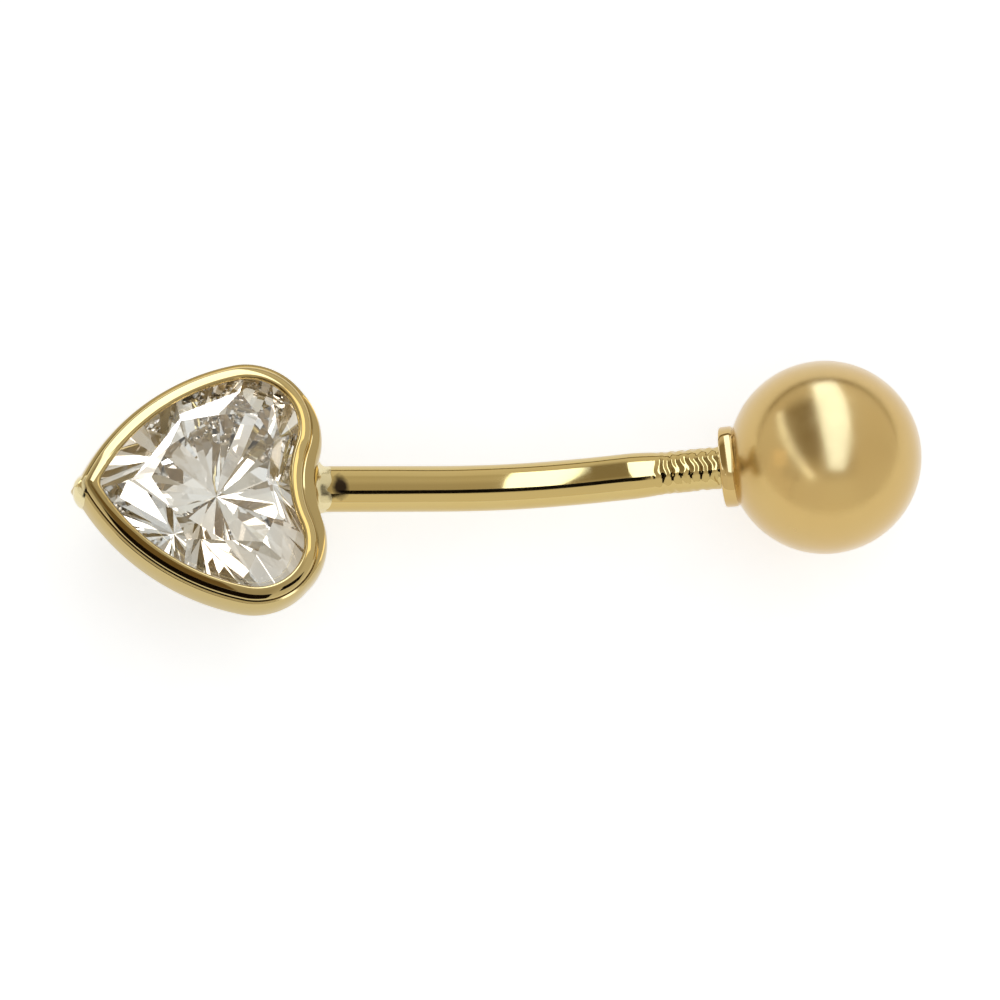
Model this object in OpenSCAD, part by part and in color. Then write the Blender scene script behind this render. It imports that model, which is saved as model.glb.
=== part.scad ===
// Navel ring: a heart-shaped stone in a gold bezel, soldered to a bent bar
// with a thread on its far end and a hollow gold ball screwed onto it.
// All lengths are in millimetres. It is modelled as it lies on a table, on the
// two lobes of the bezel's back edge and on the ball, with +X from the heart's
// tip to the ball, +Z up, and the origin under the middle of its box.

/* [Stone] */
// Width of the stone across its two lobes
stone_w = 6.1; // [5.6:0.05:7]
// Length of the stone from its tip to its lobes
stone_l = 5.65; // [5.2:0.05:6.6]
// Radius of each lobe
lobe_r = 1.48; // [1.4:0.02:1.7]
// Radius of each long side
side_r = 5.7; // [5.4:0.1:9]
// Radius of the hollow curve between the lobes
cleft_r = 2.8; // [1.6:0.1:3.4]
// Radius of the tip
tip_r = 0.12; // [0.08:0.01:0.3]
// Height of the crown, from girdle to table
crown_h = 0.75; // [0.5:0.01:0.9]
// Width of the crown, from girdle to table
crown_w = 1.18; // [1:0.01:1.4]
// Height of the girdle, the stone's upright edge
girdle_h = 0.12; // [0.08:0.01:0.2]
// Depth of the pavilion, from girdle to culet
pavilion_h = 2.45; // [2:0.05:2.5]
// Distance of the culet from the line through the lobes' centres
culet_back = 0.79; // [0.3:0.01:1.2]

/* [Bezel] */
// Clearance between the stone and the metal round it
stone_gap = 0.03; // [0.02:0.01:0.05]
// Height of the bezel from its back to its shoulder
bezel_h = 2.95; // [2.8:0.05:3.6]
// Metal outside the girdle at the shoulder
shoulder_w = 0.15; // [0.12:0.01:0.25]
// Metal outside the girdle where the wall bulges most
bulge_w = 0.33; // [0.3:0.01:0.5]
// Depth of that bulge below the shoulder
bulge_drop = 0.6; // [0.4:0.01:0.7]
// Extra metal outside the bulge in the cleft, where the bar is soldered
cleft_fill = 0.24; // [0.1:0.02:0.5]
// Extra metal outside the bulge at the tip
tip_fill = 0.1; // [0:0.02:0.2]
// Distance of the back's outer edge in from the girdle, which the wall tapers to
back_in = 0.55; // [0.3:0.05:0.7]
// Width of the metal at the back
back_w = 0.4; // [0.3:0.05:0.5]
// Bevel of the back edge
back_bevel = 0.1; // [0.05:0.01:0.15]
// Reach of the lip over the stone's edge
lip_reach = 0.21; // [0.12:0.01:0.28]
// Rise of the lip's crest above the shoulder
lip_rise = 0.18; // [0.17:0.01:0.25]
// Depth of the girdle's upper edge below the shoulder
girdle_drop = 0.27; // [0.25:0.01:0.4]
// Reach of the seat in under the stone
seat_reach = 0.35; // [0.2:0.01:0.5]

/* [Bar] */
// Diameter of the bar
bar_d = 1.2; // [1:0.05:1.6]
// Depth of the bar's axis below the shoulder
bar_drop = 1.1; // [1.05:0.05:1.4]
// Sideways offset of the bar from the middle of the cleft
bar_side = 0.25; // [0:0.05:0.35]
// Straight run from the cleft to the bend
heart_run = 4.4; // [3:0.1:8]
// Radius of the bend
bend_r = 7.5; // [4:0.5:15]
// Angle of the bend
bend_angle = 16; // [5:0.5:30]
// Straight run from the bend to the ball's collar
ball_run = 4.6; // [2.5:0.05:7]
// Radius of the solder round the bar where it meets the cleft
solder_r = 0.84; // [0.7:0.02:1]
// Length of the solder along the bar
solder_l = 0.36; // [0.2:0.02:0.8]

/* [Thread] */
// Diameter over the thread's crests
thread_d = 1.14; // [0.9:0.02:1.5]
// Length of thread that shows in front of the collar
thread_bare = 1.8; // [0.5:0.1:2.2]
// Length of thread inside the ball
thread_in = 2.4; // [1.5:0.1:2.8]
// Distance from one thread groove to the next
thread_pitch = 0.25; // [0.2:0.01:0.4]
// Depth of a thread groove
thread_depth = 0.1; // [0.05:0.01:0.14]
// Clearance round the thread in the ball
thread_gap = 0.03; // [0.02:0.01:0.06]

/* [Ball] */
// Diameter of the ball
ball_d = 5; // [4:0.1:7]
// Wall of the hollow ball
ball_wall = 0.3; // [0.2:0.05:0.6]
// Diameter of the collar on the ball
collar_d = 2.1; // [1.8:0.05:3]
// Height of the collar where it leaves the ball
collar_h = 0.4; // [0.2:0.02:0.8]
// Bevel of the collar's edges
collar_bevel = 0.07; // [0.03:0.01:0.12]
// Wall of the tapped tube inside the ball
tube_wall = 0.28; // [0.2:0.02:0.4]

/* [Hidden] */

gold = "#cfa95a";
clear_stone = "#e8ecef";

// Sides of a round shape, and steps along each arc of the heart's outline
round_fn = 96;
tip_steps = 3;
side_steps = 14;
lobe_steps = 20;
cleft_steps = 5;
// Radius below which the tip counts as a sharp corner
sharp_tip = 0.03;
// A length that reaches past the whole ring, for cutting planes
beyond = 40;

// The heart's outline is six arcs. With the lobes' centres on x = 0 and the
// tip at -x, half of it is: tip arc, side arc, lobe arc and half the cleft.
lobe_c = [0, stone_w / 2 - lobe_r];
tip_c = [lobe_r + tip_r - stone_l, 0];
cleft_c = [sqrt(pow(lobe_r + cleft_r, 2) - pow(lobe_c.y, 2)), 0];

// Centre of the side arc, which touches the lobe and tip arcs from outside
side_to_lobe = side_r - lobe_r;
side_to_tip = side_r - tip_r;
chord = tip_c - lobe_c;
chord_l = norm(chord);
chord_u = chord / chord_l;
along = (pow(side_to_lobe, 2) - pow(side_to_tip, 2) + pow(chord_l, 2)) / (2 * chord_l);
side_c = lobe_c + chord_u * along + [chord_u.y, -chord_u.x] * -sqrt(pow(side_to_lobe, 2) - pow(along, 2));

// Directions at which one arc hands over to the next
tip_turn = direction(tip_c - side_c);
lobe_turn = direction(lobe_c - side_c);
cleft_turn = direction(cleft_c - lobe_c);

// Heights in the bezel, from its back
girdle_top = bezel_h - girdle_drop;
girdle_low = girdle_top - girdle_h;
table_z = girdle_top + crown_h;
culet_z = girdle_low - pavilion_h;
lip_z = bezel_h + lip_rise;
bulge_z = bezel_h - bulge_drop;
bar_z = bezel_h - bar_drop;

// Shape of the stone's cut: the crown's stars end at this share of its height,
// the halves by the pavilion's mains are this much steeper than the mains, the
// table's middle is at this share of the culet's distance, and the facets beside
// the cleft turn this far from its middle
star_share = 0.65;
half_steeper = 1.012;
table_middle = 0.6;
cleft_facet_turn = -15;
cleft_facet_slope = 0.9;
main_first = 22.5;
main_step = 45;
half_turn = 11.25;
crown_slope = crown_h / crown_w;
cleft_x = cleft_c.x - cleft_r;

// Cavity that holds the stone. Its lip follows the steepest facet of the crown,
// and its seat the steepest of the pavilion: those beside the cleft. The stone's
// curved sides stand inside their facets' planes, so the girdle's edge is taller
// between facets, by no more than that on the crown, and the groove is too.
edge_inset = side_r * (1 - cos(half_turn));
seat_slope = pavilion_h / ((cleft_x + culet_back) * cos(cleft_facet_turn));
groove_top = girdle_top + 2 * stone_gap + edge_inset;
groove_low = girdle_low - stone_gap - edge_inset * seat_slope;
lip_low_z = groove_top + lip_reach * cleft_facet_slope;
lip_crest_share = 0.7;
seat_z = groove_low - seat_reach * seat_slope;

// Bar. Its bend is thicker by a hair than its straight runs, which reach into it,
// so that the three meet in clean steps.
seam = 0.01;
seam_reach = 0.2;
bar_r = bar_d / 2;
bar_start = cleft_x + 2 * stone_gap;
bar_root = cleft_x + shoulder_w;
bend_x = bar_root + heart_run;
bend_out = [bend_x + bend_r * sin(bend_angle), bar_side, bar_z + bend_r * (1 - cos(bend_angle))];
bar_dir = [cos(bend_angle), 0, sin(bend_angle)];
plain_run = ball_run - thread_bare;
solder_x = cleft_x + bulge_w + cleft_fill;
solder_root_r = 0.8 * bar_r;

// Ball, with its centre on the bar's far axis
ball_r = ball_d / 2;
collar_r = collar_d / 2;
collar_root = sqrt(pow(ball_r, 2) - pow(collar_r, 2));
collar_face = collar_root + collar_h;
ball_c = bend_out + (ball_run + collar_face) * bar_dir;
thread_r = thread_d / 2;
bore_r = thread_r + thread_gap;
bore_end = collar_face - thread_in - 2 * thread_gap;
tube_end = bore_end - tube_wall;

// Cross-section of the bezel, as rows of outward offset from the girdle, height
// and share of the extra metal: up the wall, over the lip, and down inside past
// the groove and the seat
wall_steps = 6;
taper_power = 1.1;
lower_wall = [for (i = [0:wall_steps])
    let (down = 1 - i / wall_steps, taper = pow(down, taper_power))
    [bulge_w - (bulge_w + back_in) * taper, bulge_z - (bulge_z - back_bevel) * down, 1 - taper]];
upper_wall = [for (i = [1:wall_steps])
    let (turn = 90 * i / wall_steps)
    [shoulder_w + (bulge_w - shoulder_w) * cos(turn), bulge_z + bulge_drop * sin(turn), cos(turn)]];
lip_round = [for (i = [1:wall_steps / 2])
    let (turn = 180 * i / wall_steps)
    [shoulder_w - (shoulder_w + lip_reach * lip_crest_share) * (1 - cos(turn)), bezel_h + lip_rise * sin(turn), 0]];
outer_profile = concat([[-back_in - back_bevel, 0, 0]], lower_wall, upper_wall, lip_round);
inner_profile = [
    [-lip_reach, lip_z - lip_rise * lip_crest_share / 2, 0],
    [-lip_reach, lip_low_z, 0],
    [stone_gap, groove_top, 0],
    [stone_gap, groove_low, 0],
    [-seat_reach, seat_z, 0],
    [-back_in - back_w, 0, 0]];
ring_profile = concat(outer_profile, inner_profile);

// How the ring lies: a line under the lobes' back edge and the ball gives the
// pitch, and the box of the turned ring gives the shift to the origin
edge_x = lobe_r - back_in - back_bevel;
reach = ball_c - [edge_x, 0, 0];
rest_pitch = atan2(reach.z, reach.x) - asin(ball_r / norm([reach.x, reach.z]));
tip_ends = [for (p = outer_profile) turned_x(tip_c.x - tip_r - p[0] - tip_fill * p[2], p[1])];
rest_shift = [-(min(tip_ends) + turned_x(ball_c.x, ball_c.z) + ball_r) / 2, 0, edge_x * sin(rest_pitch)];

function direction(v) = atan2(v.y, v.x);
function toward(angle) = [cos(angle), sin(angle)];
function turned_x(x, z) = x * cos(rest_pitch) + z * sin(rest_pitch);

// Distance from the origin to the heart's tangent with its normal at an angle
function support(angle) =
    let (n = toward(angle))
    angle < lobe_turn ? lobe_c * n + lobe_r : (angle < tip_turn ? side_c * n + side_r : tip_c * n + tip_r);

// Point where two lines meet, each given by its normal's angle and its distance
function crossing(a, da, b, db) =
    [(da * sin(b) - db * sin(a)) / sin(b - a), (db * cos(a) - da * cos(b)) / sin(b - a)];

// Points of a crown main's facet on the table and where the stars end
function table_point(angle) =
    let (c = [-culet_back * table_middle, 0], n = toward(angle))
    c + n * (support(angle) - crown_w - c * n);
function star_point(a, b) =
    crossing(a, support(abs(a)) - star_share * crown_w, b, support(abs(b)) - star_share * crown_w);

// Lays the ring on the table
module lie() {
    translate(rest_shift)
        rotate([0, rest_pitch, 0])
            children();
}

// Half of the heart's outline at an outward offset, from the tip round to the
// middle of the cleft. Where the offset swallows the tip's arc, the side arc
// starts where it meets the heart's middle line.
function half_outline(d) =
    let (
        sharp = tip_r + d < sharp_tip,
        start_x = side_c.x - sqrt(pow(side_r + d, 2) - pow(side_c.y, 2)),
        start = sharp ? direction([start_x, 0] - side_c) : tip_turn,
        rest = sharp ? start + (lobe_turn - start) * tip_steps / (tip_steps + side_steps) : tip_turn)
    concat(
        sharp ? sweep(side_c, side_r + d, start, rest, tip_steps)
            : sweep(tip_c, tip_r + d, 180, tip_turn, tip_steps),
        sweep(side_c, side_r + d, rest, lobe_turn, side_steps),
        sweep(lobe_c, lobe_r + d, lobe_turn, cleft_turn, lobe_steps),
        sweep(cleft_c, cleft_r - d, 180 + cleft_turn, 180, cleft_steps),
        [cleft_c - [cleft_r - d, 0]]);
function sweep(c, r, from, to, n) = [for (i = [0:n - 1]) c + r * toward(from + (to - from) * i / n)];

// Extra metal at a step of the half outline, which fades out from the tip and
// grows from the lobe's outer side to the cleft
half_steps = tip_steps + side_steps + lobe_steps + cleft_steps;
fill_from = tip_steps + side_steps + lobe_steps / 2;
function extra(i) =
    i <= tip_steps ? tip_fill * (1 - i / (tip_steps + 1))
        : cleft_fill * sin(90 * max(0, (i - fill_from) / (half_steps - fill_from)));

// Half of the outline at one row of the cross-section, with the extra metal
function row_line(row) =
    let (line = half_outline(row[0]), wide = half_outline(row[0] + 1))
    [for (i = [0:half_steps])
        let (p = line[i] + (wide[i] - line[i]) * extra(i) * row[2])
        [p.x, i % half_steps == 0 ? 0 : p.y, row[1]]];

// The bezel: its cross-section carried round the heart
module bezel() {
    rows = len(ring_profile);
    loop = 2 * half_steps;
    points = [for (row = ring_profile)
        let (line = row_line(row))
        for (i = [0:loop - 1])
            i <= half_steps ? line[i] : [line[loop - i].x, -line[loop - i].y, row[1]]];
    faces = [for (j = [0:rows - 1])
        for (i = [0:loop - 1])
            let (k = (i + 1) % loop, low = j * loop, high = ((j + 1) % rows) * loop)
            for (f = [[low + i, low + k, high + k], [low + i, high + k, high + i]])
                f];
    polyhedron(points, faces);
}

// Straight run of the bar, its bend, and the run to the thread
module bar() {
    translate([bar_start, bar_side, bar_z])
        rotate([0, 90, 0])
            cylinder(h = bend_x + seam_reach - bar_start, d = bar_d, $fn = round_fn);
    translate([bend_x, bar_side, bar_z + bend_r])
        rotate([90, 0, 0])
            rotate([0, 0, -90])
                rotate_extrude(angle = bend_angle, $fn = round_fn)
                    translate([bend_r, 0])
                        circle(d = bar_d + 2 * seam, $fn = round_fn);
    on_far_axis()
        translate([0, 0, -seam_reach])
            cylinder(h = plain_run + seam_reach, d = bar_d, $fn = round_fn);
}

// Puts +Z along the bar's far run, from the end of the bend
module on_far_axis() {
    translate(bend_out)
        rotate([0, 90 - bend_angle, 0])
            children();
}

// Thread, as grooves round the bar's end. A groove is four rows of share of the
// groove's depth and share of the pitch.
groove = [[0, 0.1], [1, 0.45], [1, 0.55], [0, 0.9]];
module thread() {
    turns = floor((thread_bare + thread_in) / thread_pitch);
    grooves = [for (i = [0:turns - 1])
        for (p = groove)
            [thread_r - thread_depth * p[0], plain_run + (i + p[1]) * thread_pitch]];
    last = plain_run + turns * thread_pitch;
    on_far_axis()
        rotate_extrude($fn = round_fn)
            polygon(concat([[0, plain_run - seam_reach], [thread_r, plain_run - seam_reach]], grooves,
                [[thread_r - thread_depth / 2, last], [0, last]]));
}

// Solder, which swells out of the wall in the cleft and thins onto the bar
module solder() {
    steps = 6;
    flare = [for (i = [0:steps])
        let (turn = 90 * i / steps)
        [solder_r - (solder_r - bar_r + seam) * sin(turn), solder_x + solder_l * (1 - cos(turn))]];
    translate([0, bar_side, bar_z])
        rotate([0, 90, 0])
            rotate_extrude($fn = round_fn)
                polygon(concat([[0, bar_start], [solder_root_r, bar_start]], flare, [[0, solder_x + solder_l]]));
}

module heart_bezel_bar() {
    color(gold)
        lie() {
            bezel();
            bar();
            thread();
            solder();
        }
}

// Everything beyond a plane, given by one of its points and its normal
module outside(point, normal) {
    translate(point)
        rotate([0, acos(normal.z / norm(normal)), direction(normal)])
            translate([-beyond / 2, -beyond / 2, 0])
                cube(beyond);
}

// A facet that starts at the girdle's tangent line and slopes up or down
module slope(angle, distance, z, rise) {
    n = toward(angle);
    outside([n.x * distance, n.y * distance, z], [n.x * abs(rise), n.y * abs(rise), sign(rise)]);
}

module crown_facets() {
    for (k = [0:3]) {
        main = main_first + k * main_step;
        slope(main, support(main), girdle_top, crown_slope);
    }
    for (k = [0:4]) {
        before = main_first + (k - 1) * main_step;
        after = main_first + k * main_step;
        star = star_point(before, after);
        star_z = girdle_top + star_share * crown_h;
        t = table_point(after <= 180 ? after : before);
        edge = toward(before + main_step / 2);
        drop = (table_z - star_z) / (star * edge - t * edge);
        slope(before + main_step / 2, t * edge, table_z, drop);
        for (half = [before + half_turn, after - half_turn])
            if (half > 0 && half < 180)
                let (n = toward(half))
                    slope(half, support(half), girdle_top,
                        (star_z - girdle_top) / (support(half) - star * n));
    }
    slope(cleft_facet_turn, cleft_x * cos(cleft_facet_turn), girdle_top, cleft_facet_slope);
}

module pavilion_facets() {
    culet = [-culet_back, 0];
    for (k = [0:3]) {
        main = main_first + k * main_step;
        slope(main, support(main), girdle_low, -pavilion_h / (support(main) - culet * toward(main)));
        for (half = [main - half_turn, main + half_turn])
            slope(half, support(half), girdle_low,
                -half_steeper * pavilion_h / (support(half) - culet * toward(half)));
    }
    cleft_n = toward(cleft_facet_turn);
    slope(cleft_facet_turn, cleft_x * cleft_n.x, girdle_low,
        -pavilion_h / (cleft_x * cleft_n.x - culet * cleft_n));
}

module half_stone() {
    difference() {
        translate([0, 0, culet_z])
            linear_extrude(table_z - culet_z)
                polygon(half_outline(0));
        crown_facets();
        pavilion_facets();
    }
}

module heart_stone() {
    color(clear_stone)
        lie() {
            half_stone();
            mirror([0, 1, 0])
                half_stone();
        }
}

// Hollow ball with a collar and a closed tapped tube
module screw_ball() {
    color(gold)
        lie()
            translate(ball_c)
                rotate([0, -90 - bend_angle, 0])
                    difference() {
                        union() {
                            sphere(r = ball_r, $fn = round_fn);
                            cylinder(h = collar_face - collar_bevel, r = collar_r, $fn = round_fn);
                            translate([0, 0, collar_face - collar_bevel])
                                cylinder(h = collar_bevel, r1 = collar_r, r2 = collar_r - collar_bevel, $fn = round_fn);
                        }
                        difference() {
                            sphere(r = ball_r - ball_wall, $fn = round_fn);
                            translate([0, 0, tube_end])
                                cylinder(h = ball_r - tube_end, r = bore_r + tube_wall, $fn = round_fn);
                        }
                        translate([0, 0, bore_end])
                            cylinder(h = collar_face - bore_end + collar_h, r = bore_r, $fn = round_fn);
                    }
}

heart_bezel_bar();
heart_stone();
screw_ball();
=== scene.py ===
import math

import bmesh
import bpy
from bpy.props import FloatProperty, FloatVectorProperty, PointerProperty, StringProperty
from mathutils import Matrix, Vector, noise


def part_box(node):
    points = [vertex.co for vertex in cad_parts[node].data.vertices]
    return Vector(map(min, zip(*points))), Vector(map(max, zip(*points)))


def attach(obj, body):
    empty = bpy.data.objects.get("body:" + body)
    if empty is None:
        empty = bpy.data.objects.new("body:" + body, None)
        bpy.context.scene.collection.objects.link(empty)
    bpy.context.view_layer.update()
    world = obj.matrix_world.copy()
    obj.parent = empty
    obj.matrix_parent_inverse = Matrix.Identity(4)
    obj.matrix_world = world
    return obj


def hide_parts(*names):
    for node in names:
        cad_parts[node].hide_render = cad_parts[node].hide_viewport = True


bl_info = {
    "name": "Heart navel ring",
    "version": (1, 0, 0),
    "blender": (4, 5, 0),
    "location": "View3D > Sidebar > Navel ring",
    "description": "Dresses the packed navel ring: bezel, bar, stone, screw ball and a photo stage",
    "category": "Add Mesh",
}

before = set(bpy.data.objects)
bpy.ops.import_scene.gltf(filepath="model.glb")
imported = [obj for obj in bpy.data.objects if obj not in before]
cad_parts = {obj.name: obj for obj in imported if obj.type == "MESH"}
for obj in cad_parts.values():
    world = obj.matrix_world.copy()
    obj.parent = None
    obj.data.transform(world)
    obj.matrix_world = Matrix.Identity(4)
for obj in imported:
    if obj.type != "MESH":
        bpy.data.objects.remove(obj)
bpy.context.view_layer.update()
MM = 0.001


# Colours and nodes


def linear(colour):
    """Linear RGBA of an sRGB hex colour."""
    shares = [int(colour[i : i + 2], 16) / 255 for i in (1, 3, 5)]
    return (*[s / 12.92 if s <= 0.04045 else ((s + 0.055) / 1.055) ** 2.4 for s in shares], 1.0)


def shaded(colour, red, green, blue):
    """A linear colour with each channel multiplied."""
    return (colour[0] * red, colour[1] * green, colour[2] * blue, 1.0)


def add(tree, kind, settings=None, links=None):
    """Adds a node, sets its attributes or input values, and links outputs into its inputs."""
    node = tree.nodes.new(kind)
    for name, value in (settings or {}).items():
        if isinstance(name, str) and hasattr(node, name):
            setattr(node, name, value)
        else:
            node.inputs[name].default_value = value
    for name, output in (links or {}).items():
        tree.links.new(output, node.inputs[name])
    return node


def set_stops(ramp, stops):
    """Sets a colour ramp's stops from rows of position and grey or colour."""
    elements = ramp.color_ramp.elements
    while len(elements) > 1:
        elements.remove(elements[-1])
    elements[0].position = stops[0][0]
    for position, _ in stops[1:]:
        elements.new(position)
    for element, (_, colour) in zip(elements, stops):
        element.color = colour if isinstance(colour, tuple) else (colour, colour, colour, 1)


def new_material(name):
    """An empty node material with its output, and the position in metres on the object."""
    material = bpy.data.materials.new(name)
    material.use_nodes = True
    tree = material.node_tree
    tree.nodes.clear()
    output = add(tree, "ShaderNodeOutputMaterial")
    place = add(tree, "ShaderNodeTexCoord").outputs["Object"]
    return material, tree, output, place


# Sizes and colours


class StoneSizes(bpy.types.PropertyGroup):
    width: FloatProperty(
        name="Width", description="Width across the two lobes", default=6.1 * MM, unit="LENGTH"
    )
    length: FloatProperty(
        name="Length", description="Length from tip to lobes", default=5.65 * MM, unit="LENGTH"
    )
    lobe: FloatProperty(
        name="Lobe radius", description="Radius of each lobe", default=1.48 * MM, unit="LENGTH"
    )
    side: FloatProperty(
        name="Side radius", description="Radius of each long side", default=5.7 * MM, unit="LENGTH"
    )
    cleft: FloatProperty(
        name="Cleft radius", description="Radius of the hollow", default=2.8 * MM, unit="LENGTH"
    )
    tip: FloatProperty(
        name="Tip radius", description="Radius of the tip", default=0.12 * MM, unit="LENGTH"
    )
    tint: StringProperty(name="Tint", description="Colour of the stone, sRGB hex", default="#fcfdf8")


class BezelSizes(bpy.types.PropertyGroup):
    height: FloatProperty(
        name="Height", description="From its back to its shoulder", default=2.95 * MM, unit="LENGTH"
    )
    shoulder: FloatProperty(
        name="Shoulder",
        description="Metal outside the stone at the shoulder",
        default=0.15 * MM,
        unit="LENGTH",
    )
    bulge: FloatProperty(
        name="Bulge", description="Metal outside the stone at the bulge", default=0.33 * MM, unit="LENGTH"
    )
    bulge_drop: FloatProperty(
        name="Bulge depth",
        description="Depth of the bulge below the shoulder",
        default=0.6 * MM,
        unit="LENGTH",
    )
    back_in: FloatProperty(
        name="Back edge", description="Back edge in from the girdle", default=0.55 * MM, unit="LENGTH"
    )
    lip_reach: FloatProperty(
        name="Lip reach", description="Reach of the lip over the stone", default=0.21 * MM, unit="LENGTH"
    )
    lip_rise: FloatProperty(
        name="Lip rise", description="Rise of the lip above the shoulder", default=0.18 * MM, unit="LENGTH"
    )
    # The bezel's gold is a little darker than the bar's: painted shade, for the shaded floor that its wall
    # reflects
    gold: StringProperty(name="Gold", description="Colour of the gold, sRGB hex", default="#bfaa72")


class BarSizes(bpy.types.PropertyGroup):
    diameter: FloatProperty(
        name="Diameter", description="Diameter of the bar", default=1.2 * MM, unit="LENGTH"
    )
    run: FloatProperty(
        name="First run", description="Run from the cleft to the bend", default=4.4 * MM, unit="LENGTH"
    )
    bend_radius: FloatProperty(
        name="Bend radius", description="Radius of the bend", default=7.5 * MM, unit="LENGTH"
    )
    bend_angle: FloatProperty(
        name="Bend angle", description="Angle of the bend", default=math.radians(16), subtype="ANGLE"
    )
    ball_run: FloatProperty(
        name="Second run", description="Run from the bend to the ball", default=4.6 * MM, unit="LENGTH"
    )
    thread_pitch: FloatProperty(
        name="Thread pitch", description="From one turn to the next", default=0.25 * MM, unit="LENGTH"
    )
    gold: StringProperty(name="Gold", description="Colour of the gold, sRGB hex", default="#c9b171")


class BallSizes(bpy.types.PropertyGroup):
    diameter: FloatProperty(
        name="Diameter", description="Diameter of the ball", default=5 * MM, unit="LENGTH"
    )
    collar: FloatProperty(
        name="Collar", description="Diameter of the collar", default=2.1 * MM, unit="LENGTH"
    )
    collar_height: FloatProperty(
        name="Collar height", description="Height of the collar", default=0.4 * MM, unit="LENGTH"
    )
    gold: StringProperty(name="Gold", description="Colour of the gold, sRGB hex", default="#c9ab6c")


class StageSizes(bpy.types.PropertyGroup):
    azimuth: FloatProperty(
        name="Azimuth", description="The camera's azimuth", default=math.radians(-8.83), subtype="ANGLE"
    )
    elevation: FloatProperty(
        name="Elevation", description="The camera's elevation", default=math.radians(69.91), subtype="ANGLE"
    )
    roll: FloatProperty(
        name="Roll", description="The camera's roll", default=math.radians(5.88), subtype="ANGLE"
    )
    distance: FloatProperty(
        name="Distance", description="From the camera to the ring", default=200 * MM, unit="LENGTH"
    )
    centre: FloatVectorProperty(
        name="Centre",
        description="Point that the camera looks at",
        default=(0.064 * MM, -0.322 * MM, 1.887 * MM),
        unit="LENGTH",
    )
    floor: StringProperty(name="Floor", description="Colour of the floor, sRGB hex", default="#eef1f6")
    glow: FloatProperty(name="Glow", description="Light that comes up through the floor", default=0.6)


# Fixed measures, in millimetres where nothing else is said

# Steps along each arc of half the heart's outline, and the radius below which its tip is sharp
STEPS = {"tip": 8, "side": 44, "lobe": 64, "cleft": 18}
SHARP_TIP = 0.03

# The stone: heights of its girdle and table, its culet, and its crown mains, each with its direction in
# degrees and the corner of the table that it reaches
GIRDLE_TOP = 2.68
GIRDLE_LOW = 2.56
TABLE = 3.43
CULET = (-0.79, 0.0, 0.11)
CROWN = [
    (22.5, 0.77, 0.62),
    (67.5, 0.15, 1.76),
    (112.5, -0.86, 1.70),
    (150, -2.15, 0.84),
    (180, -2.82, 0),
]
# Share of a main's run that the stars take, and where the two halves lie from one main to the next
STAR = 0.6
HALVES = (0.27, 0.73)
# Pavilion mains, in degrees, and how far each main's halves are turned from it and are steeper
PAVILION = (22.5, 67.5, 112.5, 157.5)
HALF_TURN = 11.25
HALF_STEEPER = 1.012
# Direction in degrees of the facets beside the cleft, and the slope of the crown's one
CLEFT_FACET = -15
CLEFT_SLOPE = 0.9
# How near to a cut a point counts as on it, and how near the two halves' points are welded
CUT_GAP = 1e-5
WELD_GAP = 2e-4

# The bezel: steps along each curve, the back edge's bevel, and the extra metal at the tip and the cleft
CURVE_STEPS = 14
BACK_BEVEL = 0.1
TIP_FILL = 0.1
CLEFT_FILL = 0.24
# The wall's taper to the back, as the power of the share of its height
TAPER = 1.1
# Crease between wall and lip: out from the shoulder, up from it, and share of the extra metal
CREASE = [(0.075, 0.0, 0.3), (0.05, -0.005, 1), (-0.005, -0.06, 0)]
# Share of the lip's reach at its crest, and how far its edge falls, as a share of its rise
CREST_AT = 0.7
LIP_FALL = 0.35
# Inside: the height under the lip, the groove round the girdle, and the seat down to the back
LIP_UNDER = 3.0385
GROOVE = [(0.03, 2.8495), (0.03, 2.3891), (-0.35, 1.9388)]
BACK_WIDTH = 0.4
# Radius that the buffing leaves on the lip's tip, and its growth inward from the shoulder
TIP_ROUND = 0.14
TIP_ROUND_GROWTH = 0.4
# Hand-made waves of the lip: their height, and their number in a millimetre
LIP_WAVE = 0.012
LIP_WAVES = 0.9

# The bar: how far its axis lies below the shoulder and beside the heart's axis, how deep it starts in
# the wall, its sides, its steps, and the length on each side of the bend's middle that the bend takes
BAR_DROP = 1.1
BAR_ASIDE = 0.25
BAR_START = 0.06
BAR_SIDES = 72
BAR_STEP = 0.12
BEND_HALF = 2.4
# The thread: radius over the crests, groove depth, lengths outside and inside the ball, and steps
THREAD_R = 0.555
THREAD_DEPTH = 0.024
THREAD_BARE = 1.8
THREAD_IN = 2.4
THREAD_STEP = 0.03
# The bar thins to the thread over NECK, which starts this far before it
NECK_BEFORE = 0.6
NECK = 1.0
# Half the groove's width and its slope, as shares of the pitch
GROOVE_HALF = 0.42
GROOVE_SLOPE = 0.3
# Painted dark reflection of the solder's edge, on the bar: where its middle lies from the bar's start in the
# cleft, and its half sizes
REFLECTION_SPOT_AT = (1.2, -0.14, 0.58)
REFLECTION_SPOT_SIZE = (0.2, 0.32, 0.32)

# The solder in the cleft: the wall's bulge there, its radius and its length, and the height of its lumps
SOLDER_OUT = 0.33
SOLDER_R = 0.84
SOLDER_LENGTH = 0.36
SOLDER_LUMP = 0.10
# The blob on the tip: how far out of the tip and aside its middle lies, its height and its half sizes
BLOB_AT = (0.03, -0.02, 2.45)
BLOB_SIZE = (0.40, 0.48, 0.62)

# The ball: steps from pole to collar and round it, its bore, the bore's end and the bevels' sizes
BALL_STEPS = 96
BALL_SIDES = 144
BORE_R = 0.6
BORE_END = 0.20881
BORE_BEVEL = 0.04
COLLAR_BEVEL = 0.07
# A radius that closes a pole without a spike of faces
POLE_R = 0.0001

# The photograph's scale and side in pixels, and the camera's film width
PIXELS_PER_MM = 38.74
PHOTO_SIDE = 1000
FILM_WIDTH = 36
# Side of the floor in metres
FLOOR_SIDE = 3.0

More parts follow.
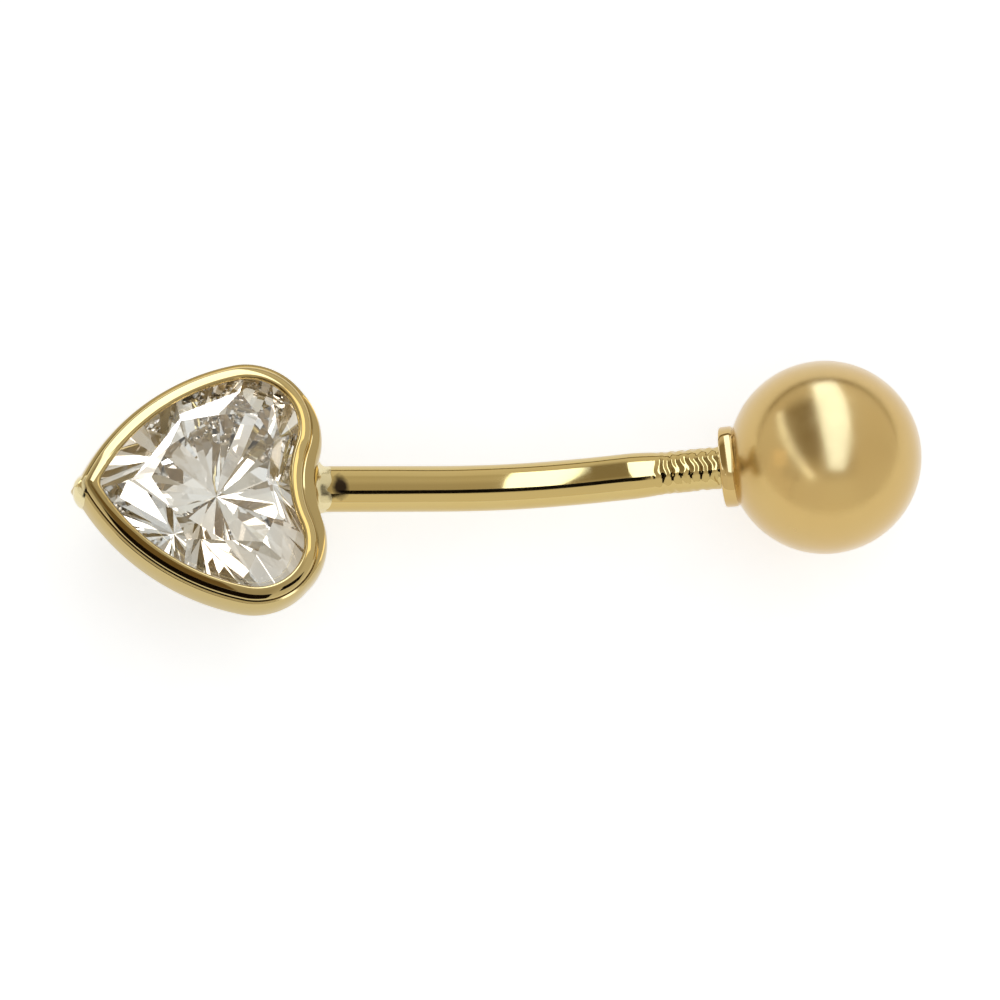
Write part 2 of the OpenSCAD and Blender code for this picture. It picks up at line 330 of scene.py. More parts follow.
# Walls of the light tent: each row has where it lies from left to right, as the share of the tent's
# width at its soft edges, and its colours from the viewer's side over the ring to the far side
TENT = [
    (
        [(0.0, 1), (1.0, 1)],
        [(0.0, "#f4f2ee"), (0.5, "#ece9e3"), (0.955, "#f6f4ef"), (0.965, "#8d7f58"), (1.0, "#8d7f58")],
    ),
    (
        [(0.08, 0), (0.17, 1), (0.40, 1), (0.45, 0)],
        [
            (0.0, "#f4f2ee"),
            (0.24, "#f4f2ee"),
            (0.32, "#cfc8bb"),
            (0.42, "#a09682"),
            (0.78, "#9c927e"),
            (0.88, "#e9e5de"),
            (0.955, "#eeeae3"),
            (0.965, "#84764f"),
        ],
    ),
    (
        [(0.40, 0), (0.45, 1), (0.68, 1), (0.80, 0)],
        [
            (0.0, "#f8f6f0"),
            (0.22, "#f8f6f0"),
            (0.26, "#dcd7ce"),
            (0.36, "#c6bfb3"),
            (0.5, "#c9c2b6"),
            (0.62, "#dfdad1"),
            (0.74, "#d8d3c6"),
            (0.79, "#efece6"),
            (0.955, "#f8f5ef"),
            (0.965, "#8d7f58"),
        ],
    ),
]
# Where the softboxes and cards are centred, and the stretches that they span as seen from there: two
# directions and a width in degrees
BALL_AT, BAR_AT, BEZEL_AT = (8.5, 0, 2.5), (1, 0, 1.5), (-8, 0, 3)
CROWN_AT, CARD_BAR_AT, CARD_HEART_AT = (-7.5, 0, 3), (0.6, 0, 1.5), (-7.5, -1.5, 2.5)
BALL_SPAN = ((0.03, 0.973, 0.162), (0.139, -0.567, 0.809), 32)
STRIP_SPAN = ((-0.675, 0.656, 0.327), (-0.323, -0.674, 0.664), 9)
BAR_SOFTBOX_SPAN = ((-0.092, 0.803, 0.59), (-0.058, -0.497, 0.863), 13.4)
LIP_SPAN = ((-0.30, 0.94, 0.12), (0.14, 0.43, 0.89), 38)
LOBE_SPAN = ((0.37, 0.36, 0.86), (0.64, 0.36, 0.68), 16)
STONE_SPAN = ((-0.45, 0.89, 0.10), (-0.05, -0.15, 0.99), 26)
CROWN_SPAN = ((-0.58, 0.81, 0.075), (0.30, 0.95, 0.075), 15)
BAR_SPAN = ((-0.30, -0.53, 0.79), (0.30, -0.53, 0.79), 18)
HEART_SPAN = ((-0.86, -0.30, 0.40), (0.45, -0.75, 0.40), 52)
SHADE_SPAN = ((-0.60, -0.08, 0.80), (0.15, -0.22, 0.96), 32)
# Softboxes: name, stretch, distance and centre, radiance, colour, and the piece that each lights. The
# last three fill in what the cards would darken on the ball.
SOFTBOXES = [
    ("ball_softbox", *BALL_SPAN, 300, BALL_AT, 3.3, "#aac6ff", "gold_ball"),
    ("ball_strip", *STRIP_SPAN, 300, BALL_AT, 2.0, "#c4d8ff", "gold_ball"),
    ("bar_softbox", *BAR_SOFTBOX_SPAN, 300, BAR_AT, 4.0, "#c8dcff", "gold_bar"),
    ("lip_window", *LIP_SPAN, 300, BEZEL_AT, 3.4, "#d2e0ff", "gold_bezel"),
    ("lobe_window", *LOBE_SPAN, 300, BEZEL_AT, 1.5, "#fff2d8", "gold_bezel"),
    ("stone_window", *STONE_SPAN, 300, BEZEL_AT, 2.6, "#fff2e4", "clear_stone"),
    ("crown_window", *CROWN_SPAN, 60, CROWN_AT, 7.0, "#f6f6ff", "clear_stone"),
    ("bar_flag_fill", *BAR_SPAN, 8.9, CARD_BAR_AT, 0.75, "#fffaf2", "gold_ball"),
    ("heart_flag_fill", *HEART_SPAN, 11.9, CARD_HEART_AT, 0.9, "#fffaf2", "gold_ball"),
    ("heart_shade_fill", *SHADE_SPAN, 12.4, CARD_HEART_AT, 0.9, "#fffaf2", "gold_ball"),
]
# Dark cards: name, stretch, distance and centre, and colour
FLAGS = [
    ("bar_flag", *BAR_SPAN, 9, CARD_BAR_AT, "#100c08"),
    ("heart_flag", *HEART_SPAN, 12, CARD_HEART_AT, "#181008"),
    ("heart_shade", *SHADE_SPAN, 12.5, CARD_HEART_AT, "#7a6647"),
]


# The heart, the bar's path and the meshes


def clamp(value, low=0.0):
    """The value, held between low and 1."""
    return min(1.0, max(low, value))


def eased(share):
    """Share of a change that is done, slow at both ends."""
    t = clamp(share)
    return t * t * (3 - 2 * t)


def toward(angle):
    return Vector((math.cos(angle), math.sin(angle)))


def turn(v):
    return math.atan2(v.y, v.x)


class Heart:
    """The heart outline of six arcs, the bar's path and where they lie, from the named sizes."""

    def __init__(self, ring):
        stone, bezel, bar, ball = ring.stone, ring.bezel, ring.bar, ring.ball
        width, length, self.lobe_r, self.side_r, self.cleft_r, self.tip_r = (
            v / MM for v in (stone.width, stone.length, stone.lobe, stone.side, stone.cleft, stone.tip)
        )
        self.lobe_c = Vector((0, width / 2 - self.lobe_r))
        self.tip_c = Vector((self.lobe_r + self.tip_r - length, 0))
        self.cleft_c = Vector((math.sqrt((self.lobe_r + self.cleft_r) ** 2 - self.lobe_c.y**2), 0))
        # The side's arc meets the lobe's and the tip's without a corner
        a, b = self.side_r - self.lobe_r, self.side_r - self.tip_r
        chord = self.tip_c - self.lobe_c
        u = chord.normalized()
        along = (a * a - b * b + chord.length_squared) / (2 * chord.length)
        self.side_c = self.lobe_c + u * along - Vector((u.y, -u.x)) * math.sqrt(a * a - along * along)
        self.tip_turn = turn(self.tip_c - self.side_c)
        self.lobe_turn = turn(self.lobe_c - self.side_c)
        self.cleft_turn = turn(self.cleft_c - self.lobe_c)
        self.cleft_x = self.cleft_c.x - self.cleft_r
        # The bar's path and the ball's centre
        self.bar_r = bar.diameter / MM / 2
        self.bar_z = bezel.height / MM - BAR_DROP
        self.bend_x = self.cleft_x + bezel.shoulder / MM + bar.run / MM
        self.bend_r = bar.bend_radius / MM
        self.bend = bar.bend_angle
        rise = self.bend_r * (1 - math.cos(self.bend))
        self.out = Vector((self.bend_x + self.bend_r * math.sin(self.bend), BAR_ASIDE, self.bar_z + rise))
        self.far = Vector((math.cos(self.bend), 0, math.sin(self.bend)))
        self.ball_r, self.collar_r = ball.diameter / MM / 2, ball.collar / MM / 2
        self.collar_root = math.sqrt(self.ball_r**2 - self.collar_r**2)
        self.collar_face = self.collar_root + ball.collar_height / MM
        self.ball_run = bar.ball_run / MM
        self.ball_c = self.out + self.far * (self.ball_run + self.collar_face)
        # How the ring lies: pitched onto the back edge of its lobes and the ball
        edge = self.lobe_r - bezel.back_in / MM - BACK_BEVEL
        reach = self.ball_c - Vector((edge, 0, 0))
        self.pitch = math.atan2(reach.z, reach.x) - math.asin(self.ball_r / math.hypot(reach.x, reach.z))
        pitched = Matrix.Rotation(self.pitch, 4, "Y")
        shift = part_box("screw_ball")[1].x / MM - (pitched @ self.ball_c).x - self.ball_r
        lifted = Matrix.Translation((shift, 0, edge * math.sin(self.pitch)))
        self.lie = Matrix.Scale(MM, 4) @ lifted @ pitched

    def support(self, n):
        """Distance from the origin to the heart's tangent with this normal."""
        a = turn(n)
        if a < self.lobe_turn:
            return self.lobe_c.dot(n) + self.lobe_r
        if a < self.tip_turn:
            return self.side_c.dot(n) + self.side_r
        return self.tip_c.dot(n) + self.tip_r

    def half(self, d):
        """Points of half the outline at an outward offset, from the tip to the middle of the cleft."""
        tip, side, lobe, cleft = STEPS.values()
        start = self.tip_turn
        if self.tip_r + d < SHARP_TIP:
            x = self.side_c.x - math.sqrt((self.side_r + d) ** 2 - self.side_c.y**2)
            first = turn(Vector((x, 0)) - self.side_c)
            start = first + (self.lobe_turn - first) * tip / (tip + side)
            arcs = [(self.side_c, self.side_r + d, first, start, tip)]
        else:
            arcs = [(self.tip_c, self.tip_r + d, math.pi, start, tip)]
        arcs += [
            (self.side_c, self.side_r + d, start, self.lobe_turn, side),
            (self.lobe_c, self.lobe_r + d, self.lobe_turn, self.cleft_turn, lobe),
            (self.cleft_c, self.cleft_r - d, math.pi + self.cleft_turn, math.pi, cleft),
        ]
        points = []
        for centre, radius, first, last, count in arcs:
            points += [centre + toward(first + (last - first) * i / count) * radius for i in range(count)]
        points.append(Vector((self.cleft_c.x - self.cleft_r + d, 0)))
        points[0].y = 0
        return points

    def extra(self, i):
        """Extra metal outside the wall at a step of the half outline, at the tip and in the cleft."""
        if i <= STEPS["tip"]:
            return TIP_FILL * (1 - i / (STEPS["tip"] + 1))
        first = STEPS["tip"] + STEPS["side"] + STEPS["lobe"] / 2
        last = sum(STEPS.values())
        return CLEFT_FILL * math.sin(math.pi / 2 * max(0, (i - first) / (last - first)))


def heart():
    return Heart(bpy.context.scene.navel_ring)


def finish_piece(name, bm, matrix, body, node, materials, sharp=None):
    """Turns a bmesh in millimetres into a piece that rides on a body and stands for a CAD node."""
    bmesh.ops.recalc_face_normals(bm, faces=bm.faces)
    mesh = bpy.data.meshes.new(name)
    bm.to_mesh(mesh)
    bm.free()
    mesh.transform(matrix)
    if sharp is not None:
        mesh.shade_smooth()
        mesh.set_sharp_from_angle(angle=math.radians(sharp))
    piece = bpy.data.objects.new(name, mesh)
    bpy.context.scene.collection.objects.link(piece)
    for material in materials:
        mesh.materials.append(material)
    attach(piece, body)
    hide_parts(node)
    return piece


def skin(bm, rings, closed_along=False, caps=False):
    """Rows of faces between closed rings of points, whose last ring may meet the first."""
    rows = [[bm.verts.new(p) for p in ring] for ring in rings]
    pairs = list(zip(rows, rows[1:])) + ([(rows[-1], rows[0])] if closed_along else [])
    faces = []
    for low, high in pairs:
        around = zip(low, low[1:] + low[:1], high[1:] + high[:1], high)
        faces.append([bm.faces.new(corners) for corners in around])
    if caps:
        bm.faces.new(rows[0][::-1])
        bm.faces.new(rows[-1])
    return faces


def flat_sheet(name, width, length, place, material):
    """A flat rectangle of the stage."""
    bm = bmesh.new()
    bmesh.ops.create_grid(bm, x_segments=1, y_segments=1, size=0.5)
    bmesh.ops.scale(bm, verts=bm.verts, vec=(width, length, 1))
    mesh = bpy.data.meshes.new(name)
    bm.to_mesh(mesh)
    bm.free()
    sheet = bpy.data.objects.new(name, mesh)
    sheet.matrix_world = place
    bpy.context.scene.collection.objects.link(sheet)
    mesh.materials.append(material)
    return sheet


# Materials


def polished_gold(name, colour, roughness, wave, reflection_spot=None):
    """14 carat yellow gold, cast, soldered and polished by hand. The buffing leaves a mirror with
    faint waves and a haze, and the copper in the alloy shows as slightly redder patches. A thin clear
    lacquer against tarnish whitens what is seen at a flat angle. A dark spot, where one is given, is
    a painted reflection of the solder's shaded edge, painted dark brown into the gold's colour."""
    material, tree, output, place = new_material(name)
    patches = add(tree, "ShaderNodeTexNoise", {"Scale": 1 / (2.2 * MM), "Detail": 2.0}, {"Vector": place})
    tint = add(tree, "ShaderNodeValToRGB", links={"Fac": patches.outputs["Fac"]})
    base = linear(colour)
    set_stops(tint, [(0.35, base), (0.7, shaded(base, 1, 0.97, 0.92))])
    tone = tint.outputs["Color"]
    # Painted reflection: a dark spot for the solder's shaded edge, where one is given
    if reflection_spot:
        tone = painted_reflection_spot(tree, place, tone, reflection_spot)
    haze = add(tree, "ShaderNodeTexNoise", {"Scale": 1 / (0.6 * MM), "Detail": 2.0}, {"Vector": place})
    rough = add(
        tree,
        "ShaderNodeMapRange",
        {"From Min": 0.1, "From Max": 0.9, "To Min": roughness * 0.7, "To Max": roughness * 1.35},
        {"Value": haze.outputs["Fac"]},
    )
    waves = add(tree, "ShaderNodeTexNoise", {"Scale": 1 / (1.6 * MM), "Detail": 0.0}, {"Vector": place})
    bump = add(
        tree, "ShaderNodeBump", {"Strength": 1.0, "Distance": wave * MM}, {"Height": waves.outputs["Fac"]}
    )
    shader = add(
        tree,
        "ShaderNodeBsdfPrincipled",
        {"Metallic": 1.0, "Coat Weight": 0.35, "Coat Roughness": roughness},
        {"Base Color": tone, "Roughness": rough.outputs["Result"], "Normal": bump.outputs["Normal"]},
    )
    tree.links.new(shader.outputs["BSDF"], output.inputs["Surface"])
    return material


def painted_reflection_spot(tree, place, tone, reflection_spot):
    """A tone with a painted dark reflection: a ragged dark brown spot round a point on the object, in
    metres.
    """
    scale = [1 / (size * MM) for size in REFLECTION_SPOT_SIZE]
    start = [-at * share for at, share in zip(reflection_spot, scale)]
    spot = add(tree, "ShaderNodeMapping", {"Location": start, "Scale": scale}, {"Vector": place})
    away = add(tree, "ShaderNodeVectorMath", {"operation": "LENGTH"}, {0: spot.outputs["Vector"]})
    ragged = add(tree, "ShaderNodeTexNoise", {"Scale": 1 / (0.2 * MM), "Detail": 2.0}, {"Vector": place})
    reach = add(
        tree,
        "ShaderNodeMath",
        {"operation": "MULTIPLY_ADD", 1: 0.7},
        {0: ragged.outputs["Fac"], 2: away.outputs["Value"]},
    )
    reflection_mask = add(
        tree,
        "ShaderNodeMapRange",
        {"From Min": 0.9, "From Max": 1.55, "To Min": 1.0, "To Max": 0.0},
        {"Value": reach.outputs[0]},
    )
    # Mixes the painted dark reflection, dark brown, into the gold's colour
    mix = add(
        tree,
        "ShaderNodeMix",
        {"data_type": "RGBA", 7: linear("#33240f")},
        {0: reflection_mask.outputs["Result"], 6: tone},
    )
    return mix.outputs[2]


def cast_gold(name, colour):
    """Yellow gold as it left the casting flask, never buffed: the grain of the plaster, here 0.3 mm
    so that it shows, scatters the light and leaves the seat pale and matt."""
    material, tree, output, place = new_material(name)
    grain = add(tree, "ShaderNodeTexNoise", {"Scale": 1 / (0.3 * MM), "Detail": 1.0}, {"Vector": place})
    base = linear(colour)
    tint = add(tree, "ShaderNodeValToRGB", links={"Fac": grain.outputs["Fac"]})
    set_stops(tint, [(0.3, shaded(base, 0.9, 0.9, 0.9)), (0.7, base)])
    bump = add(
        tree, "ShaderNodeBump", {"Strength": 0.5, "Distance": 0.008 * MM}, {"Height": grain.outputs["Fac"]}
    )
    shader = add(
        tree,
        "ShaderNodeBsdfPrincipled",
        {"Metallic": 0.4, "Roughness": 0.6},
        {"Base Color": tint.outputs["Color"], "Normal": bump.outputs["Normal"]},
    )
    tree.links.new(shader.outputs["BSDF"], output.inputs["Surface"])
    return material


def zirconia(colour):
    """Cubic zirconia, cut and polished. Its high IOR of 2.16 makes the facets mirror each other,
    and faint warm and cool growth zones keep the largest facets from looking blank."""
    material, tree, output, place = new_material("cubic_zirconia_cut")
    zones = add(tree, "ShaderNodeTexNoise", {"Scale": 1 / (2.4 * MM), "Detail": 1.0}, {"Vector": place})
    tint = add(tree, "ShaderNodeValToRGB", links={"Fac": zones.outputs["Fac"]})
    set_stops(tint, [(0.38, linear("#f3faff")), (0.5, linear(colour)), (0.62, linear("#fff0d6"))])
    shader = add(
        tree,
        "ShaderNodeBsdfPrincipled",
        {"Roughness": 0.015, "IOR": 2.16, "Transmission Weight": 1.0},
        {"Base Color": tint.outputs["Color"]},
    )
    tree.links.new(shader.outputs["BSDF"], output.inputs["Surface"])
    return material


def lit_acrylic(colour, glow):
    """Opal acrylic sheet of a light table, satin and lit from below: shadows on it stay faint, and
    the fine mottle is the sheet's diffusing filler."""
    material, tree, output, place = new_material("opal_acrylic_lit")
    filler = add(tree, "ShaderNodeTexNoise", {"Scale": 1 / (1.5 * MM), "Detail": 4.0}, {"Vector": place})
    base = linear(colour)
    tint = add(tree, "ShaderNodeValToRGB", links={"Fac": filler.outputs["Fac"]})
    set_stops(tint, [(0.3, shaded(base, 0.985, 0.985, 0.985)), (0.7, base)])
    shader = add(
        tree,
        "ShaderNodeBsdfPrincipled",
        {"Roughness": 0.8, "Specular IOR Level": 0.1, "Emission Strength": glow},
        {"Base Color": tint.outputs["Color"], "Emission Color": tint.outputs["Color"]},
    )
    tree.links.new(shader.outputs["BSDF"], output.inputs["Surface"])
    return material


def flocked_velvet(colour):
    """Velvet glued on a card: its pile swallows the light, with a faint mottle."""
    material, tree, output, place = new_material("velvet_flock")
    pile = add(tree, "ShaderNodeTexNoise", {"Scale": 1 / (0.5 * MM)}, {"Vector": place})
    tint = add(tree, "ShaderNodeValToRGB", links={"Fac": pile.outputs["Fac"]})
    base = linear(colour)
    set_stops(tint, [(0.3, base), (0.7, shaded(base, 1.3, 1.3, 1.3))])
    shader = add(
        tree,
        "ShaderNodeBsdfPrincipled",
        {"Roughness": 1.0, "Specular IOR Level": 0.0},
        {"Base Color": tint.outputs["Color"]},
    )
    tree.links.new(shader.outputs["BSDF"], output.inputs["Surface"])
    return material


# Pieces


class RING_OT_bezel(bpy.types.Operator):
    """Heart-shaped gold bezel: bulging wall, shoulder crease, rubbed-over lip and the seat inside"""

    bl_idname = "ring.bezel"
    bl_label = "Bezel"

    def execute(self, context):
        sizes, h = context.scene.navel_ring.bezel, heart()
        rows = self.profile(sizes)
        rings = [self.ring(h, *row) for row in rows]
        height, shoulder = sizes.height / MM, sizes.shoulder / MM
        for ring, (offset, z, _) in zip(rings, rows):
            if z > height and offset < shoulder - 0.02:
                self.round_tip(ring, TIP_ROUND + TIP_ROUND_GROWTH * (shoulder - offset))
            if z > height - 0.02:
                for p in ring:
                    p.z += LIP_WAVE * noise.noise(Vector((p.x * LIP_WAVES, p.y * LIP_WAVES, 3.0)))
        bm = bmesh.new()
        # The four bands from the lip's edge down to the back are not buffed
        for row in skin(bm, rings, closed_along=True)[-5:-1]:
            for face in row:
                face.material_index = 1
        metals = [
            polished_gold("gold_buffed_bezel", sizes.gold, 0.06, 0.012),
            cast_gold("gold_cast_seat", "#f3deb2"),
        ]
        finish_piece("gold_bezel", bm, h.lie, "ring", "heart_bezel_bar", metals, 38)
        return {"FINISHED"}

    def profile(self, sizes):
        """The wall's section, up the outside and down the inside: offset, height, extra metal's share."""
        height, shoulder, bulge, drop = (
            v / MM for v in (sizes.height, sizes.shoulder, sizes.bulge, sizes.bulge_drop)
        )
        back_in, reach, rise = (v / MM for v in (sizes.back_in, sizes.lip_reach, sizes.lip_rise))
        bulge_z = height - drop
        turns = [math.pi / 2 * i / CURVE_STEPS for i in range(1, CURVE_STEPS + 1)]
        rows = [(-back_in - BACK_BEVEL, 0, 0), (-back_in - BACK_BEVEL * 0.3, BACK_BEVEL * 0.3, 0)]
        for i in range(CURVE_STEPS + 1):
            down = 1 - i / CURVE_STEPS
            taper = down**TAPER
            z = bulge_z - (bulge_z - BACK_BEVEL) * down
            rows.append((bulge - (bulge + back_in) * taper, z, 1 - taper))
        for a in turns[:-1]:
            offset = shoulder + (bulge - shoulder) * math.cos(a)
            rows.append((offset, bulge_z + drop * math.sin(a), math.cos(a)))
        rows += [(shoulder + out, height + up, share) for out, up, share in CREASE]
        span = shoulder + reach * CREST_AT
        for a in turns:
            rows.append((shoulder - span * (1 - math.cos(a)), height + rise * math.sin(a), 0))
        for share in (0.35, 0.7, 1.0):
            inward = reach * (CREST_AT + (1 - CREST_AT) * share)
            rows.append((-inward, height + rise - rise * LIP_FALL * share**2, 0))
        rows.append((-reach, LIP_UNDER, 0))
        rows += [(offset, z, 0) for offset, z in GROOVE]
        rows.append((-back_in - BACK_WIDTH, 0, 0))
        return rows

    def ring(self, h, offset, z, share):
        """The whole outline at an offset and a height, with its share of the extra metal."""
        half = []
        for i, (p, q) in enumerate(zip(h.half(offset), h.half(offset + 1))):
            s = p + (q - p) * h.extra(i) * share
            half.append(Vector((s.x, s.y, z)))
        half[0].y = half[-1].y = 0
        return half + [Vector((p.x, -p.y, p.z)) for p in half[-2:0:-1]]

    def round_tip(self, ring, radius):
        """Rounds the sharp tip of one ring of the lip, as buffing does."""
        tip = ring[0].x
        lean = math.atan2(ring[5].y, ring[5].x - tip)
        for p in ring:
            if abs(p.y) < radius * math.cos(lean):
                p.x = max(p.x, tip + radius / math.sin(lean) - math.sqrt(radius * radius - p.y * p.y))


class RING_OT_bar(bpy.types.Operator):
    """Bent gold bar with its cut thread, and the solder in the cleft and on the heart's tip"""

    bl_idname = "ring.bar"
    bl_label = "Bar and solder"

    def execute(self, context):
        sizes, h = context.scene.navel_ring.bar, heart()
        bm = bmesh.new()
        skin(bm, self.bar_rings(h, sizes.thread_pitch / MM), caps=True)
        # Where the painted dark reflection of the solder's edge lies on the bar
        x, y, z = REFLECTION_SPOT_AT
        reflection_spot = h.lie @ Vector((h.cleft_x + x, BAR_ASIDE + y, h.bar_z + z))
        gold = polished_gold("gold_drawn_bar", sizes.gold, 0.07, 0.03, reflection_spot)
        finish_piece("gold_bar", bm, h.lie, "ring", "heart_bezel_bar", [gold], 50)

        solder = polished_gold("gold_solder_flowed", "#e0d3a6", 0.22, 0.03)
        bm = bmesh.new()
        skin(bm, self.solder_rings(h), caps=True)
        finish_piece("gold_solder", bm, h.lie, "ring", "heart_bezel_bar", [solder], 60)

        bm = bmesh.new()
        bmesh.ops.create_icosphere(bm, subdivisions=4, radius=1)
        out, y, z = BLOB_AT
        centre, size = Vector((h.tip_c.x - h.tip_r - out, y, z)), Vector(BLOB_SIZE)
        for v in bm.verts:
            lump = 1 - 0.07 * (1 + noise.noise(v.co * 1.6 + Vector((2.1, 0, 0))))
            v.co = centre + v.co * size * lump
        finish_piece("gold_tip_solder", bm, h.lie, "ring", "heart_bezel_bar", [solder], 80)
        return {"FINISHED"}

    def bar_rings(self, h, pitch):
        """Rings along the bar: the run and the eased bend, the second run, and the thread's length."""
        stations = []
        at = Vector((h.cleft_x + BAR_START, BAR_ASIDE, h.bar_z))
        middle = h.bend_x + h.bend_r * math.tan(h.bend / 2)
        while at.x < middle + BEND_HALF:
            a = h.bend * eased((at.x - middle + BEND_HALF) / (2 * BEND_HALF))
            stations.append((at.copy(), a, None))
            at += Vector((math.cos(a), 0, math.sin(a))) * BAR_STEP
        neck = h.ball_run - THREAD_BARE - NECK_BEFORE
        last = stations[-1][0]
        second = (h.out + h.far * neck) - last
        count = int(second.length / BAR_STEP)
        stations += [(last + second * i / count, h.bend, None) for i in range(1, count)]
        for i in range(int((THREAD_BARE + THREAD_IN + NECK_BEFORE) / THREAD_STEP)):
            run = THREAD_STEP * i
            stations.append((h.out + h.far * (neck + run), h.bend, run - NECK_BEFORE))
        rings = []
        for centre, a, run in stations:
            up, ring = Vector((-math.sin(a), 0, math.cos(a))), []
            for k in range(BAR_SIDES):
                angle = 2 * math.pi * k / BAR_SIDES
                radius = h.bar_r if run is None else self.thread_radius(h.bar_r, pitch, run, angle)
                ring.append(centre + (up * math.sin(angle) + Vector((0, 1, 0)) * math.cos(angle)) * radius)
            rings.append(ring)
        return rings

    def thread_radius(self, bar_r, pitch, run, angle):
        """Radius at a run along the thread: the neck, and the helix, worn most on its lower side."""
        radius = bar_r + (THREAD_R - bar_r) * eased((run + NECK_BEFORE) / NECK)
        way = Vector((run * 1.3, 2.2 * math.cos(angle), 2.2 * math.sin(angle)))
        share = (run / pitch - angle / (2 * math.pi) + 0.45 * noise.noise(way)) % 1
        groove = clamp((GROOVE_HALF - abs(share - 0.5)) / GROOVE_SLOPE)
        fade = clamp(run / pitch) * clamp((THREAD_BARE + THREAD_IN - run) / (pitch * 0.6))
        way = Vector((run * 2.4, 1.8 * math.cos(angle), 1.8 * math.sin(angle)))
        kept = clamp(0.5 + 1.1 * noise.noise(way) + 0.45 * math.sin(angle), 0.1)
        return radius - THREAD_DEPTH * groove * fade * kept

    def solder_rings(self, h):
        """Rings of the solder that swells out of the wall in the cleft and thins, torn, onto the bar."""
        start = h.cleft_x + SOLDER_OUT + CLEFT_FILL
        flare = [(h.cleft_x + BAR_START, h.bar_r * 0.8)]
        for i in range(CURVE_STEPS + 1):
            a = math.pi / 2 * i / CURVE_STEPS
            radius = SOLDER_R - (SOLDER_R - h.bar_r + 0.01) * math.sin(a)
            flare.append((start + SOLDER_LENGTH * (1 - math.cos(a)), radius))
        rings = []
        for x, radius in flare:
            ring = []
            for k in range(BAR_SIDES):
                angle = 2 * math.pi * k / BAR_SIDES
                way = Vector((0, math.cos(angle), math.sin(angle)))
                lump = noise.noise(Vector((x * 2.6, way.y * 1.7, way.z * 1.7)) + Vector((7.3, 1.1, 0.4)))
                spread = SOLDER_LUMP * lump * clamp((radius - h.bar_r * 0.9) * 4, 0.25)
                ring.append(Vector((x + 0.15 * lump, BAR_ASIDE, h.bar_z)) + way * (radius + spread + 0.012))
            rings.append(ring)
        return rings


class RING_OT_stone(bpy.types.Operator):
    """Heart-cut clear stone: table, crown mains, stars and halves, girdle and pavilion"""

    bl_idname = "ring.stone"
    bl_label = "Stone"

    def execute(self, context):
        h = heart()
        bm = bmesh.new()
        outline = h.half(0)
        skin(bm, [[(p.x, p.y, z) for p in outline] for z in (CULET[2], TABLE)], caps=True)
        for point, normal in self.crown(h) + self.pavilion(h):
            self.cut(bm, point, normal)
        middle = [f for f in bm.faces if all(abs(v.co.y) < CUT_GAP for v in f.verts)]
        bmesh.ops.delete(bm, geom=middle, context="FACES")
        bmesh.ops.mirror(bm, geom=bm.verts[:] + bm.edges[:] + bm.faces[:], axis="Y", merge_dist=WELD_GAP)
        bmesh.ops.dissolve_limit(bm, angle_limit=math.radians(0.3), verts=bm.verts, edges=bm.edges)
        material = zirconia(context.scene.navel_ring.stone.tint)
        finish_piece("clear_stone", bm, h.lie, "ring", "heart_stone", [material])
        return {"FINISHED"}

    def cut(self, bm, point, normal):
        """Cuts away what lies outside a facet's plane and closes the cut."""
        whole = bm.verts[:] + bm.edges[:] + bm.faces[:]
        found = bmesh.ops.bisect_plane(
            bm, geom=whole, dist=CUT_GAP, plane_co=point, plane_no=normal, clear_outer=True
        )
        edges = [g for g in found["geom_cut"] if isinstance(g, bmesh.types.BMEdge) and len(g.link_faces) < 2]
        if edges:
            bmesh.ops.edgenet_fill(bm, edges=edges)

    def crown(self, h):
        """Planes of the crown: a main to each table corner, stars between them and two halves each."""
        rise = TABLE - GIRDLE_TOP
        planes, mains = [], []
        for degrees, x, y in CROWN:
            n = toward(math.radians(degrees))
            run = h.support(n) - Vector((x, y)).dot(n)
            mains.append((n, h.support(n), run, Vector((x, y)), math.radians(degrees)))
            planes.append((n * h.support(n), GIRDLE_TOP, n, rise / run))
        low = GIRDLE_TOP + STAR * rise
        for (n, d, run, corner, a), (_, e, reach, other, b) in zip(mains, mains[1:]):
            da, db = d - STAR * run, e - STAR * reach
            x, y = da * math.sin(b) - db * math.sin(a), db * math.cos(a) - da * math.cos(b)
            star = Vector((x, y)) / math.sin(b - a)
            side = Vector((corner.y - other.y, other.x - corner.x)).normalized()
            if side.dot(n) < 0:
                side = -side
            planes.append((corner, TABLE, side, (TABLE - low) / (star - corner).dot(side)))
            for share in HALVES:
                w = toward(a + (b - a) * share)
                slope = (low - GIRDLE_TOP) / (h.support(w) - star.dot(w))
                planes.append((w * h.support(w), GIRDLE_TOP, w, slope))
        n = toward(math.radians(CLEFT_FACET))
        planes.append((n * h.cleft_x * n.x, GIRDLE_TOP, n, CLEFT_SLOPE))
        return [(Vector((p.x, p.y, z)), Vector((n.x * slope, n.y * slope, 1))) for p, z, n, slope in planes]

    def pavilion(self, h):
        """Planes of the pavilion, mains and halves, which all lead down to the culet."""
        rows = []
        for degrees in PAVILION:
            for turned, steeper in ((0, 1), (-HALF_TURN, HALF_STEEPER), (HALF_TURN, HALF_STEEPER)):
                n = toward(math.radians(degrees + turned))
                rows.append((n, h.support(n), steeper))
        n = toward(math.radians(CLEFT_FACET))
        rows.append((n, h.cleft_x * n.x, 1))
        depth, culet, planes = GIRDLE_LOW - CULET[2], Vector(CULET[:2]), []
        for n, d, steeper in rows:
            run = d - culet.dot(n)
            normal = Vector((n.x * steeper * depth / run, n.y * steeper * depth / run, -1))
            planes.append((Vector((n.x * d, n.y * d, GIRDLE_LOW)), normal))
        return planes


